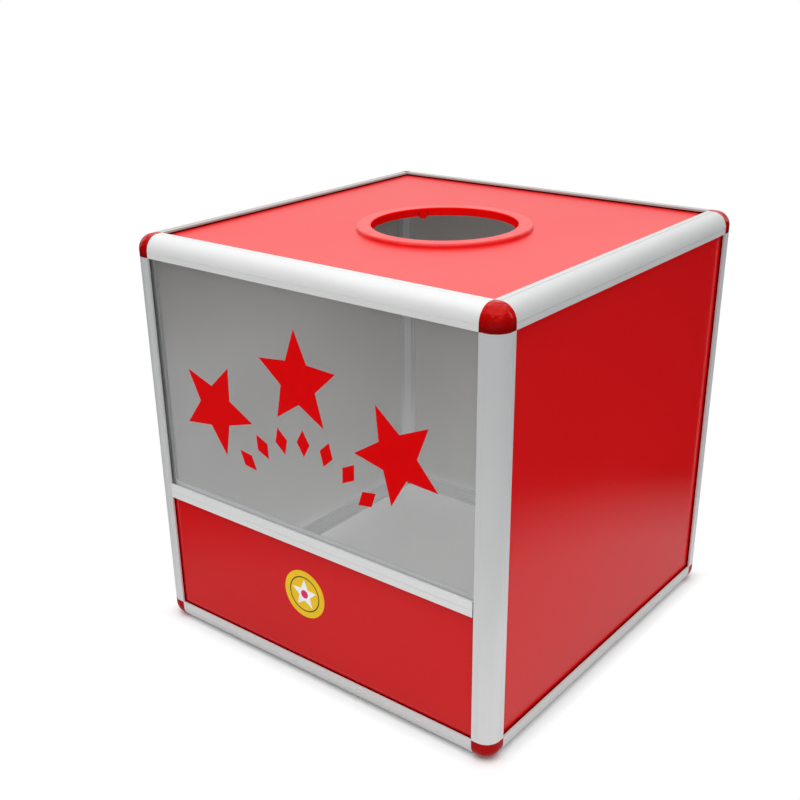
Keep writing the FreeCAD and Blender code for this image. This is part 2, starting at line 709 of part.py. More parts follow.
    def build_films(self):
        """Cut film: three stars and an arch of diamonds on the pane, a badge below."""
        size = self.sizes
        film = size["FilmThickness"]
        stars = self.make.body("window_stars", self.pane_face)
        sketch = self.make.sketch(stars, "Stars")
        for angle in STAR_ANGLES:
            across = size["StarArch"] * math.cos(math.radians(angle))
            up = size["ArchCentre"] + size["StarArch"] * math.sin(math.radians(angle))
            tip = size["StarRadius"]
            draw_loop(sketch, star(across, up, tip, tip * STAR_WAIST, STAR_POINTS, angle))
        self.make.pad(stars, sketch, film)
        diamonds = self.make.body("window_diamonds", self.pane_face)
        sketch = self.make.sketch(diamonds, "Diamonds")
        for index in range(DIAMOND_COUNT):
            angle = DIAMOND_START - DIAMOND_STEP * index
            across = size["DiamondArch"] * math.cos(math.radians(angle))
            up = size["ArchCentre"] + size["DiamondArch"] * math.sin(math.radians(angle))
            tip = size["DiamondRadius"]
            draw_loop(sketch, star(across, up, tip, tip * DIAMOND_WAIST, 2, angle))
        self.make.pad(diamonds, sketch, film)
        skin = self.front.moved(-size["BadgeAcross"], size["BadgeHeight"], -self.inset)
        badge = self.make.body("badge_disc", skin)
        sketch = self.make.sketch(badge, "Disc")
        draw_circle(sketch, 0, 0, size["BadgeRadius"])
        self.make.pad(badge, sketch, film)
        mark = self.make.body("badge_star", skin.moved(0, 0, film))
        sketch = self.make.sketch(mark, "Star")
        tip = size["BadgeStar"]
        draw_loop(sketch, star(as_size(0), as_size(0), tip, tip * STAR_WAIST, STAR_POINTS, 90.0))
        self.make.pad(mark, sketch, film)

    def hinge_axis(self):
        """The pin's axis across the back, on the door's hinged side."""
        return -(self.sizes["HatchWidth"] / 2 + self.hinge_offset)

    def hinge_heights(self):
        """The heights of the two hinges' middles."""
        size = self.sizes
        low = size["HatchSill"] - size["DoorLap"]
        high = size["HatchSill"] + size["HatchHeight"] + size["DoorLap"]
        return {"upper": high - size["HingePlace"], "lower": low + size["HingePlace"]}

    def rivet_heights(self):
        """The heights of the rivets of both hinges."""
        half = self.sizes["RivetPitch"] / 2
        return [middle + step for middle in self.hinge_heights().values() for step in (half, -half)]

    def rivet_holes(self, across):
        """The holes of one row of rivets, as circles of a plate's outline."""
        radius = self.sizes["RivetRadius"] + self.sizes["RivetPlay"]
        return [(across, height, radius) for height in self.rivet_heights()]

    def build_door(self):
        """The door over the opening in the back panel."""
        size = self.sizes
        make = self.make
        face = self.back.moved(0, 0, self.door_out)
        half = size["HatchWidth"] / 2 + size["DoorLap"]
        low = size["HatchSill"] - size["DoorLap"]
        high = size["HatchSill"] + size["HatchHeight"] + size["DoorLap"]
        outline = rectangle(-half, low, half, high)
        self.lock_place = (size["HatchWidth"] / 2 - size["LockInset"],
                           size["HatchSill"] + size["HatchHeight"] / 2)
        barrel_hole = (*self.lock_place, size["BarrelRadius"] + size["BarrelPlay"])
        holes = [barrel_hole] + self.rivet_holes(self.hinge_axis() + self.rivet_reach)
        layers = (("door_skin", face, size["SkinThickness"]),
                  ("door_board", face.moved(0, 0, -size["SkinThickness"]), size["BoardThickness"]))
        limit = (half.value, low.value, high.value)

        def is_door_corner(edge):
            """Whether an upright edge is one of the door's four corners."""
            point = edge.Vertexes[0].Point
            return (is_upright(edge) and abs(abs(point.x) - limit[0]) < NEAR
                    and min(abs(point.y - limit[1]), abs(point.y - limit[2])) < NEAR)

        for label, frame, thickness in layers:
            body = self.plate(label, frame, outline, thickness, holes)
            make.dress(body, "Fillet", "Radius", size["DoorCorner"], is_door_corner)

    def build_hinges(self):
        """Two hinges, each with two leaves and a pin, and the rivets of both."""
        size = self.sizes
        axis_out = -self.inset + size["KnuckleSeat"] + size["KnuckleRadius"]
        leaf = size["LeafThickness"]
        fixed_base = -self.inset - axis_out
        door_base = self.door_out - axis_out
        for name, height in self.hinge_heights().items():
            frame = self.back.moved(self.hinge_axis(), height, axis_out).facing(RIGHT, BACK)
            self.build_leaf(f"{name}_hinge_fixed_leaf", frame, fixed_base, False)
            self.build_leaf(f"{name}_hinge_door_leaf", frame, door_base, True)
            pin = self.make.body(f"{name}_hinge_pin", frame)
            self.make.solid(pin, "AdditiveCylinder", (0, 0, -size["HingeHeight"] / 2),
                            Radius=size["PinRadius"], Height=size["HingeHeight"])
        for label, across, seat in (
                ("fixed_leaf_rivets", self.hinge_axis() - self.rivet_reach, leaf - self.inset),
                ("door_leaf_rivets", self.hinge_axis() + self.rivet_reach, self.door_out + leaf)):
            self.build_rivets(label, across, seat)

    def build_leaf(self, label, frame, base, on_door):
        """One hinge leaf: a plate with its knuckles, in the pin's frame."""
        size = self.sizes
        make = self.make
        height, middle, gap = size["HingeHeight"], size["KnuckleLength"], size["KnuckleGap"]
        radius, relief = size["KnuckleRadius"], size["LeafRelief"]
        body = make.body(label, frame)
        width = self.rivet_reach + size["RivetHead"] + size["LeafMargin"]
        thick = size["LeafThickness"]
        left = -width if on_door else as_size(0)
        make.solid(body, "AdditiveBox", (left, base, -height / 2),
                   Length=width, Width=thick, Height=height)
        end = (height - middle) / 2 - gap
        if on_door:
            knuckles = ((-middle / 2, middle),)
            reliefs = ((-height / 2 - CUT, end + gap + CUT), (middle / 2, end + gap + CUT))
        else:
            knuckles = ((-height / 2, end), (height / 2 - end, end))
            reliefs = ((-middle / 2 - gap, middle + gap * 2),)
        clear = radius + relief
        for start, length in reliefs:
            corner_x = -clear if on_door else -as_size(CUT)
            make.solid(body, "SubtractiveBox", (corner_x, base - CUT, start),
                       Length=clear + CUT, Width=thick + 2 * CUT, Height=length)
        for start, length in knuckles:
            make.solid(body, "AdditiveCylinder", (0, 0, start), Radius=radius, Height=length)
        make.solid(body, "SubtractiveCylinder", (0, 0, -height / 2 - CUT),
                   Radius=size["PinRadius"] + size["PinPlay"], Height=height + 2 * CUT)
        across = -self.rivet_reach if on_door else self.rivet_reach
        for step in (size["RivetPitch"] / 2, -size["RivetPitch"] / 2):
            hole = make.solid(body, "SubtractiveCylinder", (across, base - CUT, step),
                              Radius=size["RivetRadius"] + size["RivetPlay"],
                              Height=thick + 2 * CUT)
            hole.Placement.Rotation = FreeCAD.Rotation(FreeCAD.Vector(1, 0, 0), -90)

    def build_rivets(self, label, across, seat):
        """Four rivets through a leaf and its panel, headed on both sides."""
        size = self.sizes
        head = size["RivetHeadHeight"]
        grip = size["LeafThickness"] + self.panel
        members = []
        for height in self.rivet_heights():
            shank = self.doc.addObject("Part::Cylinder", "RivetShank")
            bind(shank, "Radius", size["RivetRadius"])
            bind(shank, "Height", grip + head * 2)
            outer = self.doc.addObject("Part::Cylinder", "RivetHead")
            inner = self.doc.addObject("Part::Cylinder", "RivetTail")
            tail = size["RivetHead"] * TAIL_SHARE
            for item, radius in ((outer, size["RivetHead"]), (inner, tail)):
                bind(item, "Radius", radius)
                bind(item, "Height", head)
            place = self.back.moved(across, height, seat)
            place.moved(0, 0, -grip - head).put(shank)
            place.put(outer)
            place.moved(0, 0, -grip - head).put(inner)
            rivet = self.doc.addObject("Part::MultiFuse", "Rivet")
            rivet.Shapes = [shank, outer, inner]
            members.append(rivet)
        group = self.doc.addObject("Part::Compound", label)
        group.Links = members
        self.make.keep(group, label)

    def build_lock(self):
        """The cam lock of the door: barrel, nut, plug, cam and screw."""
        size = self.sizes
        make = self.make
        face = self.back.moved(*self.lock_place, self.door_out)
        self.lock_frame = face
        length, flange = size["BarrelLength"], size["BarrelFlangeThickness"]
        plug_hole = size["PlugRadius"] + size["PlugPlay"]
        barrel = make.body("lock_barrel", face)
        make.solid(barrel, "AdditiveCylinder", (0, 0, -length),
                   Radius=size["BarrelRadius"], Height=length)
        make.solid(barrel, "AdditiveCylinder", (0, 0, 0),
                   Radius=size["BarrelFlange"], Height=flange)
        rim, top = size["BarrelFlange"].value, flange.value
        make.dress(barrel, "Fillet", "Radius", flange * RIM_ROUNDING, lambda edge: all(
            abs(v.Point.z - top) < NEAR and abs(math.hypot(v.Point.x, v.Point.y) - rim) < NEAR
            for v in edge.Vertexes))
        make.solid(barrel, "SubtractiveCylinder", (0, 0, -length - CUT),
                   Radius=plug_hole, Height=length + flange + 2 * CUT)

        nut_depth = self.panel + size["NutThickness"]
        nut = make.body("lock_nut", face.moved(0, 0, -nut_depth))
        sketch = make.sketch(nut, "Hexagon")
        corners = []
        for index in range(NUT_SIDES):
            angle = 2.0 * math.pi * (index + 0.5) / NUT_SIDES
            corners.append((size["NutRadius"] * math.cos(angle), size["NutRadius"] * math.sin(angle)))
        draw_loop(sketch, corners)
        draw_circle(sketch, 0, 0, size["BarrelRadius"] + size["BarrelPlay"])
        make.pad(nut, sketch, size["NutThickness"])

        plug = make.body("lock_plug", face)
        stub = size["StubSize"]
        cam_top = -length - size["StubPlay"]
        cam_low = cam_top - size["CamThickness"]
        make.solid(plug, "AdditiveCylinder", (0, 0, -length),
                   Radius=size["PlugRadius"], Height=length + self.plug_top)
        make.solid(plug, "AdditiveBox", (-stub / 2, -stub / 2, cam_low),
                   Length=stub, Width=stub, Height=-length - cam_low)
        make.solid(plug, "SubtractiveBox",
                   (-size["KeyThickness"] / 2 - size["KeyPlay"], -size["KeyBlade"] / 2 - size["KeyPlay"],
                    self.plug_top - size["KeyReach"] - size["KeyPlay"]),
                   Length=size["KeyThickness"] + size["KeyPlay"] * 2,
                   Width=size["KeyBlade"] + size["KeyPlay"] * 2,
                   Height=size["KeyReach"] + size["KeyPlay"] + CUT)
        screw_hole = size["ScrewRadius"] + size["PinPlay"]
        make.solid(plug, "SubtractiveCylinder", (0, 0, cam_low - CUT),
                   Radius=screw_hole, Height=size["ScrewLength"] + size["KeyPlay"] + CUT)

        screw = make.body("cam_screw", face.moved(0, 0, cam_low))
        make.solid(screw, "AdditiveCylinder", (0, 0, -size["ScrewHeadHeight"]),
                   Radius=size["ScrewHead"], Height=size["ScrewHeadHeight"])
        low = -size["ScrewHeadHeight"].value
        make.dress(screw, "Fillet", "Radius", size["ScrewHeadHeight"] * RIM_ROUNDING,
                   lambda edge: all(abs(v.Point.z - low) < NEAR for v in edge.Vertexes))
        make.solid(screw, "AdditiveCylinder", (0, 0, 0),
                   Radius=size["ScrewRadius"], Height=size["ScrewLength"])
        slot = size["ScrewRadius"] * CROSS_WIDTH
        slot_end = size["ScrewHead"] * CROSS_LENGTH
        for spans in ((slot_end, slot), (slot, slot_end)):
            make.solid(screw, "SubtractiveBox",
                       (-spans[0] / 2, -spans[1] / 2, -size["ScrewHeadHeight"] - CUT),
                       Length=spans[0], Width=spans[1],
                       Height=size["ScrewHeadHeight"] / 2 + CUT)

        cam = make.body("lock_cam", face.facing(DOWN, BACK))
        sketch = make.sketch(cam, "SideView", "XY_Plane", -size["CamWidth"] / 2)
        strip = size["CamThickness"]
        tip_top = -(self.door_out + self.inset) - self.panel - size["CamPlay"]
        bend = size["CamBend"]
        tail = -size["CamWidth"] / 2
        draw_loop(sketch, [(tail, cam_low), (bend + strip, cam_low), (bend + strip, tip_top - strip),
                           (size["CamReach"], tip_top - strip), (size["CamReach"], tip_top),
                           (bend, tip_top), (bend, cam_top), (tail, cam_top)])
        make.pad(cam, sketch, size["CamWidth"])
        hole = stub + size["StubPlay"] * 2
        make.solid(cam, "SubtractiveBox", (-hole / 2, cam_low - CUT, -hole / 2),
                   Length=hole, Width=strip + 2 * CUT, Height=hole)

    def build_key(self):
        """The key, pushed into the plug."""
        size = self.sizes
        make = self.make
        frame = self.lock_frame.moved(0, 0, self.plug_top).facing(BACK, UP)
        body = make.body("lock_key", frame.moved(0, 0, -size["KeyThickness"] / 2))
        half = size["KeyBlade"] / 2
        reach = size["KeyReach"]
        middle = size["KeyNeck"] + size["KeyBow"]
        tooth = size["KeyTooth"]
        outline = [(middle, half), (tooth - reach, half), (-reach, 0), (tooth - reach, -half)]
        pitch = (reach - tooth) / (TOOTH_COUNT + 1)
        for number in range(1, TOOTH_COUNT + 1):
            centre = tooth - reach + pitch * number
            outline += [(centre - tooth / 2, -half), (centre, tooth - half),
                        (centre + tooth / 2, -half)]
        outline.append((middle, -half))
        sketch = make.sketch(body, "Blade")
        draw_loop(sketch, outline)
        make.pad(body, sketch, size["KeyThickness"])
        make.solid(body, "AdditiveCylinder", (middle, 0, 0),
                   Radius=size["KeyBow"], Height=size["KeyThickness"])
        make.solid(body, "SubtractiveCylinder", (middle + size["KeyBow"] / 2, 0, -CUT),
                   Radius=size["KeyEye"], Height=size["KeyThickness"] + 2 * CUT)


def check(doc, parts):
    """Stop if any feature failed or any sub-part has no valid shape."""
    for item in doc.Objects:
        if "Invalid" in item.State or "Error" in item.State:
            raise RuntimeError(f"{item.Name} did not build: {item.State}")
    for part in parts:
        if part.Shape.isNull() or not part.Shape.isValid():
            raise RuntimeError(f"{part.Label} has no valid shape")


def main():
    """Build the document and write one file for each sub-part."""
    doc = FreeCAD.newDocument("RaffleBox")
    parts = RaffleBox(doc).build()
    doc.recompute()
    check(doc, parts)
    os.makedirs(OUTPUT, exist_ok=True)
    for part in parts:
        part.Shape.exportStep(os.path.join(OUTPUT, f"{part.Label}.step"))
    print(f"{len(parts)} sub-parts written")


main()
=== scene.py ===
"""The looks of a raffle box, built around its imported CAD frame."""

import json
import logging
from dataclasses import dataclass, field
from enum import Enum
from typing import Protocol, Sequence

import bpy
from mathutils import Matrix, Vector

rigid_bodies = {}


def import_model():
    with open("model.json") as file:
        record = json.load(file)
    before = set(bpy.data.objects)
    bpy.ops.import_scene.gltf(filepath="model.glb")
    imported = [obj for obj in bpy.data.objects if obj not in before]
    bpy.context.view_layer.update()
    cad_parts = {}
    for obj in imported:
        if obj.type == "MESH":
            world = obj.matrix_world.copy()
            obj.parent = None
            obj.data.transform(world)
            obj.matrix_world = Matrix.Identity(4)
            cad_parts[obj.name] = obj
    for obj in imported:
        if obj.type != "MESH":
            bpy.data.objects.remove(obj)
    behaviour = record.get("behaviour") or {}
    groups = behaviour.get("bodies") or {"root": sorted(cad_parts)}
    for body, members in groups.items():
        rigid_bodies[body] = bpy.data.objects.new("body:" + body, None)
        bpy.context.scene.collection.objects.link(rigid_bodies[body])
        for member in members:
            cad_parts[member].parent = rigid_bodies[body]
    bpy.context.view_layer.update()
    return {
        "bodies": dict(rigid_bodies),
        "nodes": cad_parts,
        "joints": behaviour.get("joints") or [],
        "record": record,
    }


LOG = logging.getLogger("raffle_box")

Colour = tuple[float, float, float]
Point = tuple[float, float, float]
Range = tuple[float, float]
Socket = bpy.types.NodeSocket

WHITE: Colour = (1.0, 1.0, 1.0)
# Light that has bounced between the white walls is a little cool.
BOUNCED_LIGHT: Colour = (0.97, 0.98, 1.0)
# The middle of the cube in the shared frame, and the axis of the hand hole.
CUBE_MIDDLE: Point = (0.0, -0.01275, 0.2)
HOLE_MIDDLE: Point = (0.0072, -0.01705, 0.0)
# How far from the cube's middle the decor lines lie, and where a panel runs into its slot.
DECOR_LINE = 0.1857
SLOT_EDGE: Range = (0.1798, 0.1806)
# The noise values between which a soft mottle goes from one tone to the other.
MOTTLE: Range = (0.3, 0.7)


class Run(Enum):
    """The direction that a profile was drawn in."""

    ACROSS = (1.0, 0.0, 0.0)
    ALONG = (0.0, 1.0, 0.0)
    UPRIGHT = (0.0, 0.0, 1.0)

    def stretch(self, fine: float, long: float) -> Point:
        """Texture scale with fine detail across this direction and long detail along it.

        Args:
            fine: Features per metre across the drawing direction.
            long: Features per metre along the drawing direction.

        Returns:
            The scale of the three axes.
        """
        return tuple(long if part else fine for part in self.value)


@dataclass(frozen=True)
class Texture:
    """One layer of texture: features per metre, octaves and, where it is felt, its relief."""

    scale: float
    detail: float = 4.0
    depth: float = 0.0
    strength: float = 1.0


class Graph:
    """Builds the nodes of one material or world step by step."""

    def __init__(self, owner: bpy.types.ID, output: str) -> None:
        """Start an empty node tree.

        Args:
            owner: The material or world.
            output: The kind of its output node.
        """
        owner.use_nodes = True
        self.owner = owner
        self.nodes = owner.node_tree.nodes
        self.links = owner.node_tree.links
        self.nodes.clear()
        self.output = self.node(output)
        self.coordinates = self.node("TexCoord")
        self.place = self.coordinates.outputs["Object"]

    @classmethod
    def of_material(cls, name: str) -> "Graph":
        """Start a material with this name."""
        return cls(bpy.data.materials.new(name), "OutputMaterial")

    @classmethod
    def of_world(cls, name: str) -> "Graph":
        """Start a world with this name."""
        return cls(bpy.data.worlds.new(name), "OutputWorld")

    def node(self, kind: str, **settings: object) -> bpy.types.Node:
        """Add a node and set its properties.

        Args:
            kind: The node type without its ShaderNode prefix.
            **settings: Properties to set on the node.

        Returns:
            The new node.
        """
        made = self.nodes.new(f"ShaderNode{kind}")
        for name, value in settings.items():
            setattr(made, name, value)
        return made

    def feed(self, socket: Socket, value: object) -> None:
        """Link a socket to another one, or set its own value.

        Args:
            socket: The input to fill.
            value: An output socket, a number or a colour.
        """
        if isinstance(value, Socket):
            self.links.new(value, socket)
        elif isinstance(value, tuple) and len(value) == 3 and socket.type == "RGBA":
            socket.default_value = (*value, 1.0)
        else:
            socket.default_value = value

    def show(self, shader: Socket) -> bpy.types.ID:
        """Join a shader to the output.

        Args:
            shader: The finished shader.

        Returns:
            The material or world.
        """
        self.links.new(shader, self.output.inputs["Surface"])
        return self.owner

    def noise(self, texture: Texture, stretch: Point = (1.0, 1.0, 1.0)) -> Socket:
        """Fractal noise in the box's own frame.

        Args:
            texture: The layer that it makes.
            stretch: Extra scale of the three axes.

        Returns:
            The noise factor.
        """
        mapping = self.node("Mapping")
        self.feed(mapping.inputs["Vector"], self.place)
        mapping.inputs["Scale"].default_value = stretch
        noise = self.node("TexNoise")
        self.feed(noise.inputs["Vector"], mapping.outputs["Vector"])
        noise.inputs["Scale"].default_value = texture.scale
        noise.inputs["Detail"].default_value = texture.detail
        return noise.outputs["Fac"]

    def spread(self, value: Socket, low: float, high: float, start: float = 0.0,
               end: float = 1.0) -> Socket:
        """Map a value from one range to another, clamped.

        Args:
            value: The input.
            low: Result at the start.
            high: Result at the end.
            start: Input that gives low.
            end: Input that gives high.

        Returns:
            The mapped value.
        """
        ranged = self.node("MapRange")
        self.feed(ranged.inputs["Value"], value)
        for name, number in (("From Min", start), ("From Max", end), ("To Min", low),
                             ("To Max", high)):
            ranged.inputs[name].default_value = number
        return ranged.outputs["Result"]

    def blend(self, factor: object, first: object, second: object,
              kind: str = "RGBA") -> Socket:
        """Blend two colours or two numbers.

        Args:
            factor: Share of the second one.
            first: What shows at 0.
            second: What shows at 1.
            kind: RGBA for colours and FLOAT for numbers.

        Returns:
            The blended colour or number.
        """
        mix = self.node("Mix", data_type=kind)
        self.feed(mix.inputs["Factor"], factor)
        self.feed(mix.inputs["A"], first)
        self.feed(mix.inputs["B"], second)
        return mix.outputs["Result"]

    def mottle(self, noise: Socket, shade: Colour, colour: Colour,
               contrast: Range = MOTTLE) -> Socket:
        """Blend two near tones by a noise.

        Args:
            noise: The noise.
            shade: Tone of its low places.
            colour: Tone of its high places.
            contrast: Noise values between which the tone changes.

        Returns:
            The mottled colour.
        """
        return self.blend(self.spread(noise, 0.0, 1.0, *contrast), shade, colour)

    def uneven(self, noise: Socket, middle: float, play: Range,
               contrast: Range = MOTTLE) -> Socket:
        """Let a roughness vary with a noise.

        Args:
            noise: The noise.
            middle: The roughness that is meant.
            play: What is added to it in the low and in the high places.
            contrast: Noise values between which it changes.

        Returns:
            The roughness.
        """
        low, high = play
        return self.spread(noise, middle + low, middle + high, *contrast)

    def glow(self, strength: object) -> Socket:
        """White light of some strength.

        Args:
            strength: A number or a socket.

        Returns:
            The shader.
        """
        emission = self.node("Emission")
        self.feed(emission.inputs["Strength"], strength)
        return emission.outputs["Emission"]

    def choose(self, factor: object, first: Socket, second: Socket) -> Socket:
        """Mix two shaders.

        Args:
            factor: Share of the second shader.
            first: The shader at 0.
            second: The shader at 1.

        Returns:
            The mixed shader.
        """
        mix = self.node("MixShader")
        self.feed(mix.inputs["Fac"], factor)
        self.links.new(first, mix.inputs[1])
        self.links.new(second, mix.inputs[2])
        return mix.outputs["Shader"]

    def math(self, operation: str, first: object, second: object = 0.0) -> Socket:
        """One arithmetic step.

        Args:
            operation: The Math node's operation.
            first: First operand.
            second: Second operand.

        Returns:
            The result.
        """
        step = self.node("Math", operation=operation)
        self.feed(step.inputs[0], first)
        self.feed(step.inputs[1], second)
        return step.outputs["Value"]

    def straight_rays(self, path: bpy.types.Node) -> Socket:
        """Mark what the camera sees directly or through the pane.

        Args:
            path: The Light Path node.

        Returns:
            1 for such rays and 0 for the others.
        """
        return self.math("MAXIMUM", path.outputs["Is Camera Ray"],
                         path.outputs["Is Transmission Ray"])

    def axes(self, vector: Socket) -> tuple[Socket, ...]:
        """Split a vector.

        Args:
            vector: The vector.

        Returns:
            Its three numbers.
        """
        parts = self.node("SeparateXYZ")
        self.feed(parts.inputs["Vector"], vector)
        return tuple(parts.outputs)

    def from_middle(self) -> tuple[Socket, ...]:
        """How far a point lies from the middle of the cube, along each axis.

        Returns:
            The three distances, none below zero.
        """
        offset = self.node("VectorMath", operation="SUBTRACT")
        self.feed(offset.inputs[0], self.place)
        offset.inputs[1].default_value = CUBE_MIDDLE
        size = self.node("VectorMath", operation="ABSOLUTE")
        self.feed(size.inputs[0], offset.outputs["Vector"])
        return self.axes(size.outputs["Vector"])

    def median(self, parts: Sequence[Socket]) -> Socket:
        """The middle one of three numbers.

        Args:
            parts: The three numbers.

        Returns:
            The one that is neither the largest nor the smallest.
        """
        first, second, third = parts
        low = self.math("MINIMUM", first, second)
        high = self.math("MAXIMUM", first, second)
        return self.math("MAXIMUM", low, self.math("MINIMUM", high, third))

    def largest(self, parts: Sequence[Socket]) -> Socket:
        """The largest of three numbers."""
        first, second, third = parts
        return self.math("MAXIMUM", self.math("MAXIMUM", first, second), third)

    def radius(self, middle: Point, kept: Point) -> Socket:
        """How far a point lies from a straight line along one axis.

        Args:
            middle: A point of the line, with 0 along its own axis.
            kept: 1 for the two axes that count and 0 for the line's own.

        Returns:
            The distance.
        """
        flat = self.node("VectorMath", operation="MULTIPLY")
        self.feed(flat.inputs[0], self.place)
        flat.inputs[1].default_value = kept
        away = self.node("VectorMath", operation="DISTANCE")
        self.feed(away.inputs[0], flat.outputs["Vector"])
        away.inputs[1].default_value = middle
        return away.outputs["Value"]

    def from_hole(self) -> Socket:
        """How far a point lies from the axis of the hand hole."""
        return self.radius(HOLE_MIDDLE, (1.0, 1.0, 0.0))

    def band(self, value: Socket, middle: float, half: float, soft: float) -> Socket:
        """Mark a narrow range of a number.

        Args:
            value: The number.
            middle: Middle of the range.
            half: Half its width.
            soft: Width of its soft edges.

        Returns:
            1 inside the range and 0 outside.
        """
        away = self.math("ABSOLUTE", self.math("SUBTRACT", value, middle))
        return self.spread(away, 1.0, 0.0, half, half + soft)

    def bump(self, height: Socket, texture: Texture, after: Socket | None = None) -> Socket:
        """A bumped normal.

        Args:
            height: Height from 0 to 1.
            texture: The layer whose relief it has.
            after: A normal to bump further.

        Returns:
            The normal.
        """
        bump = self.node("Bump")
        self.feed(bump.inputs["Height"], height)
        bump.inputs["Distance"].default_value = texture.depth
        bump.inputs["Strength"].default_value = texture.strength
        if after is not None:
            self.feed(bump.inputs["Normal"], after)
        return bump.outputs["Normal"]

    def principled(self, colour: object, roughness: object, normal: Socket,
                   **more: object) -> bpy.types.ID:
        """Add the main shader and join it to the output.

        Args:
            colour: Base colour.
            roughness: Roughness.
            normal: Bumped normal.
            **more: Numbers or sockets for its other inputs, spaces written as underscores.

        Returns:
            The finished material.
        """
        shader = self.node("BsdfPrincipled")
        self.feed(shader.inputs["Base Color"], colour)
        self.feed(shader.inputs["Roughness"], roughness)
        self.feed(shader.inputs["Normal"], normal)
        for name, value in more.items():
            self.feed(shader.inputs[name.replace("_", " ")], value)
        return self.show(shader.outputs["BSDF"])


class Finish(Protocol):
    """Anything that makes one named material."""

    @property
    def name(self) -> str:
        """The material's name."""

    def make(self) -> bpy.types.Material:
        """Build the material."""


@dataclass(frozen=True)
class AnodisedAluminium:
    """Satin anodised profile with fine drawing lines along its length, painted light in its decor
    grooves and, where asked, painted shade towards its top.

    The faint glow is on its inner sides alone, for the same reason as on the boards.
    """

    name: str
    run: Run
    colour: Colour = (0.68, 0.685, 0.682)
    shade: Colour = (0.655, 0.66, 0.658)
    metal: float = 0.15
    roughness: float = 0.4
    rough_play: Range = (-0.05, 0.06)
    lines: Texture = Texture(1.0, 3.0, 0.00002, 0.5)
    cloud: Texture = Texture(1.0, 3.0)
    line_pitch: Range = (2600.0, 6.0)
    cloud_pitch: Range = (60.0, 12.0)
    line_share: float = 0.45
    contrast: Range = (0.35, 0.65)
    groove_half: float = 0.0003
    groove_painted_light: float = 0.3
    groove_light_colour: Colour = (0.95, 0.95, 0.95)
    inner: Range = (0.1937, 0.1940)
    glow: Range = (0.10, 0.0)
    glow_heights: Range = (0.02, 0.15)
    # Painted shade: the tone a profile darkens to towards its top.
    painted_high_shade: Colour | None = None
    painted_fade_heights: Range = (0.12, 0.37)

    def make(self) -> bpy.types.Material:
        """Build the material.

        Returns:
            The material.
        """
        graph = Graph.of_material(self.name)
        lines = graph.noise(self.lines, self.run.stretch(*self.line_pitch))
        cloud = graph.noise(self.cloud, self.run.stretch(*self.cloud_pitch))
        mixed = graph.math("ADD", graph.math("MULTIPLY", lines, self.line_share),
                           graph.math("MULTIPLY", cloud, 1.0 - self.line_share))
        colour = graph.mottle(mixed, self.shade, self.colour, self.contrast)
        up = graph.axes(graph.place)[2]
        # Painted shade: the grey darkens towards the top, standing in for light falling off with
        # height.
        if self.painted_high_shade is not None:
            colour = graph.blend(graph.spread(up, 0.0, 1.0, *self.painted_fade_heights), colour,
                                 self.painted_high_shade)
        # Painted light: the decor grooves are lightened to take off the shade that falls in them.
        grooves = [graph.band(distance, DECOR_LINE, self.groove_half, self.groove_half)
                   for distance, along in zip(graph.from_middle(), self.run.value) if not along]
        groove_light = graph.math("MULTIPLY", graph.math("MAXIMUM", *grooves), self.groove_painted_light)
        colour = graph.blend(groove_light, colour, self.groove_light_colour)
        inner = graph.spread(graph.largest(graph.from_middle()), 1.0, 0.0, *self.inner)
        low = graph.spread(up, *self.glow, *self.glow_heights)
        return graph.principled(colour, graph.uneven(cloud, self.roughness, self.rough_play),
                                graph.bump(lines, self.lines), Metallic=self.metal,
                                Emission_Color=BOUNCED_LIGHT,
                                Emission_Strength=graph.math("MULTIPLY", inner, low))


